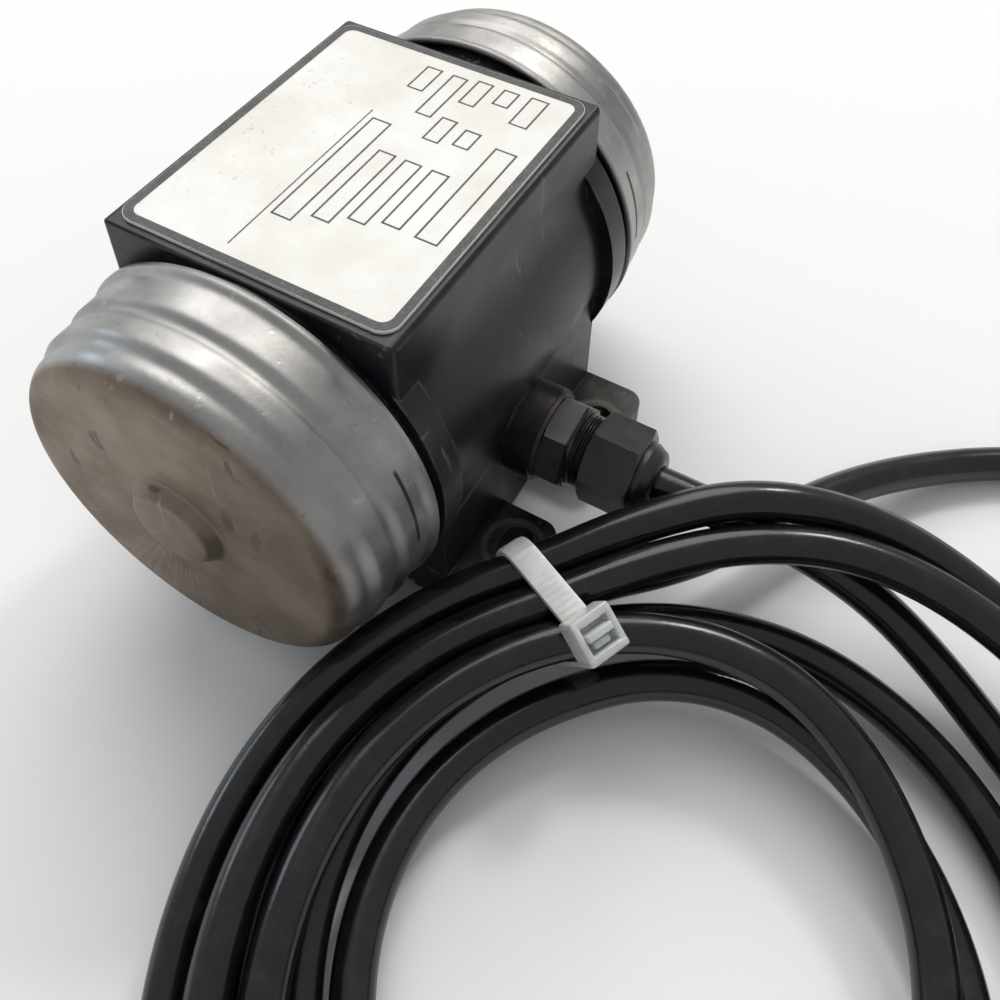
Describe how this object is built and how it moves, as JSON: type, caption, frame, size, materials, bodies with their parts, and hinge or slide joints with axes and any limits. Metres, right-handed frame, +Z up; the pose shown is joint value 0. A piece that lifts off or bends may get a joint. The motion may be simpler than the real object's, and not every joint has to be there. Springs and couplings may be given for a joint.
{
  "type": "vibration motor",
  "caption": "External vibration motor: cast housing on slotted lugs, drawn steel end caps over adjustable eccentric weights, cable gland and a coiled, tied power cable.",
  "frame": {"origin": "on the surface the motor stands on, below the middle of the motor's body", "axes": "+Z up, +Y along the shaft, +X towards the cable gland"},
  "size_m": [0.232, 0.2166, 0.0738],
  "materials": {
    "black_paint": "semi-gloss black paint on a casting",
    "plate": "printed matt plate",
    "drawn_steel": "drawn sheet, dull, with scuffs",
    "seal_rubber": "matt",
    "cast_aluminium": "die cast",
    "spring_steel": "phosphated",
    "bearing_steel": "ground and polished",
    "cage_brass": "turned",
    "turned_steel": "turned",
    "screw_steel": "blackened",
    "laminations": "stacked sheets, varnished",
    "enamelled_copper": "enamelled winding wire, varnished",
    "capacitor_case": "moulded",
    "potting_resin": "cast resin",
    "black_nylon": "moulded polyamide",
    "gland_seal": "dull brown",
    "cable_sheath": "satin flexible sheath",
    "clear_nylon": "natural nylon, slightly translucent",
    "core_brown": "core insulation",
    "core_blue": "core insulation",
    "core_earth": "core insulation, green with yellow",
    "tinned_copper": "tinned"
  },
  "bodies": {
    "motor": {"auxiliary_winding": "enamelled_copper", "cable_coil": "cable_sheath", "cable_in_gland": "cable_sheath", "cable_tie": "clear_nylon", "core_blue": "core_blue", "core_brown": "core_brown", "core_earth": "core_earth", "core_ferrules": "tinned_copper", "front_bearing_dust_shields": "spring_steel", "front_bearing_outer_ring": "bearing_steel", "front_bearing_shield": "cast_aluminium", "front_bearing_shim": "spring_steel", "front_cap": "drawn_steel", "front_cap_seal": "seal_rubber", "front_shield_clip": "spring_steel", "gland_body": "black_nylon", "gland_insert": "seal_rubber", "gland_nut": "black_nylon", "gland_seal": "gland_seal", "housing": "black_paint", "lead_cable": "cable_sheath", "main_winding": "enamelled_copper", "nameplate": "plate", "potting": "potting_resin", "rear_bearing_dust_shields": "spring_steel", "rear_bearing_outer_ring": "bearing_steel", "rear_bearing_shield": "cast_aluminium", "rear_cap": "drawn_steel", "rear_cap_seal": "seal_rubber", "rear_preload_spring": "spring_steel", "rear_shield_clip": "spring_steel", "run_capacitor": "capacitor_case", "stator_core": "laminations", "tail_cable": "cable_sheath"},
    "rotor": {"shaft": "turned_steel", "rotor_core": "laminations", "rotor_cage": "cast_aluminium", "front_bearing_inner_ring": "bearing_steel", "front_spacer": "turned_steel", "front_fixed_weight": "turned_steel", "front_key": "turned_steel", "front_shaft_clip": "spring_steel", "rear_bearing_inner_ring": "bearing_steel", "rear_spacer": "turned_steel", "rear_fixed_weight": "turned_steel", "rear_key": "turned_steel", "rear_shaft_clip": "spring_steel"},
    "front_free_weight": {"front_weight": "turned_steel", "front_clamp_screw": "screw_steel"},
    "front_ball_ring": {"front_bearing_balls": "bearing_steel", "front_bearing_cage": "cage_brass"},
    "rear_free_weight": {"rear_weight": "turned_steel", "rear_clamp_screw": "screw_steel"},
    "rear_ball_ring": {"rear_bearing_balls": "bearing_steel", "rear_bearing_cage": "cage_brass"}
  },
  "joints": [
    {"name": "rotor_spin", "type": "hinge", "parent": "motor", "child": "rotor", "pos_m": [0, 0, 0.039], "axis": [0, 1, 0], "continuous": true},
    {"name": "front_weight_setting", "type": "hinge", "parent": "rotor", "child": "front_free_weight", "pos_m": [0, 0, 0.039], "axis": [0, 1, 0], "range_deg": [0, 180]},
    {"name": "front_ball_orbit", "type": "hinge", "parent": "motor", "child": "front_ball_ring", "pos_m": [0, 0, 0.039], "axis": [0, 1, 0], "continuous": true},
    {"name": "rear_weight_setting", "type": "hinge", "parent": "rotor", "child": "rear_free_weight", "pos_m": [0, 0, 0.039], "axis": [0, 1, 0], "range_deg": [0, 180]},
    {"name": "rear_ball_orbit", "type": "hinge", "parent": "motor", "child": "rear_ball_ring", "pos_m": [0, 0, 0.039], "axis": [0, 1, 0], "continuous": true}
  ],
  "couplings": [
    {"joint": "front_ball_orbit", "follows": "rotor_spin", "ratio": 0.36818},
    {"joint": "rear_ball_orbit", "follows": "rotor_spin", "ratio": 0.36818}
  ]
}
